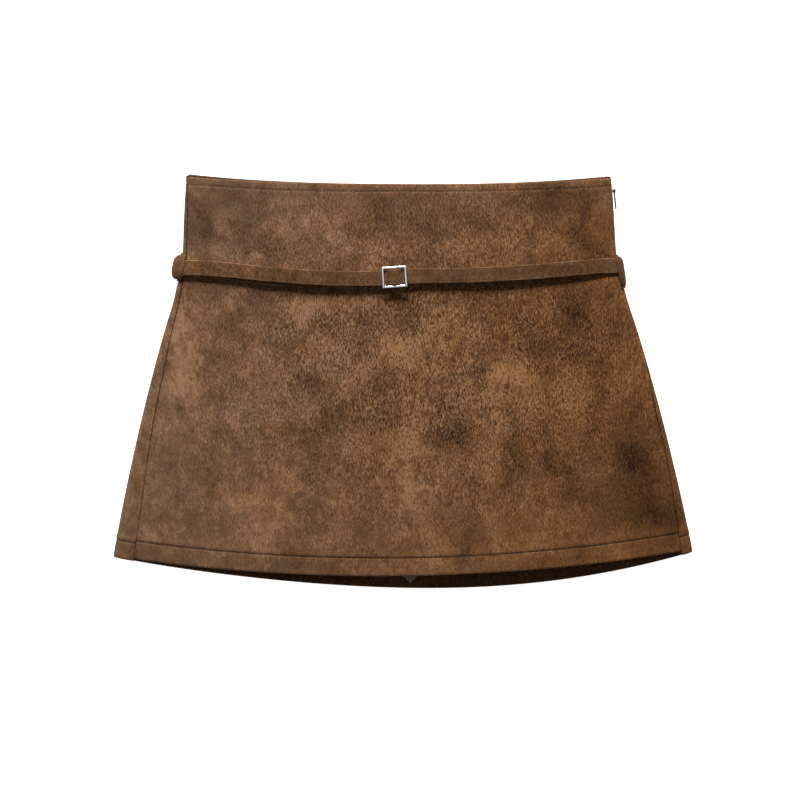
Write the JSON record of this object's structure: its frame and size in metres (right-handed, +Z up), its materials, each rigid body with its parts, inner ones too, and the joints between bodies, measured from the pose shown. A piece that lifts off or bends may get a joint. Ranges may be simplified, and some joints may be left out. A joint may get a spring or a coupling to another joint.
{
  "type": "suede skort",
  "caption": "A-line suede mini skort laid flat, with inner shorts, a narrow belt in side loops, a square slide buckle and a concealed side zip.",
  "frame": {"origin": "on the surface under the middle of the laid garment's box", "axes": "+Z up out of the front panel, +Y from hem to waist, +X to the wearer's left"},
  "size_m": [0.4744, 0.3418, 0.0189],
  "materials": {
    "suede": "brushed suede nap",
    "belt_suede": "brushed suede nap",
    "lining": "plain woven lining",
    "buckle_metal": "polished",
    "zip_metal": "satin dark",
    "label": "satin tape"
  },
  "bodies": {
    "garment": {"front_panel": "suede", "back_panel": "suede", "shorts_front_left": "lining", "shorts_front_right": "lining", "shorts_back_left": "lining", "shorts_back_right": "lining", "belt_strap": "belt_suede", "belt_loop_left": "belt_suede", "belt_loop_right": "belt_suede", "buckle": "buckle_metal", "zip_chain": "zip_metal", "zip_slider": "zip_metal", "care_label": "label"},
    "zip_tab": {"zip_pull": "zip_metal"}
  },
  "joints": [
    {"name": "zip_pull_hinge", "type": "hinge", "parent": "garment", "child": "zip_tab", "pos_m": [0.17661, 0.15275, 0.00305], "axis": [0, 0, 1], "range_deg": [0, 160]}
  ]
}
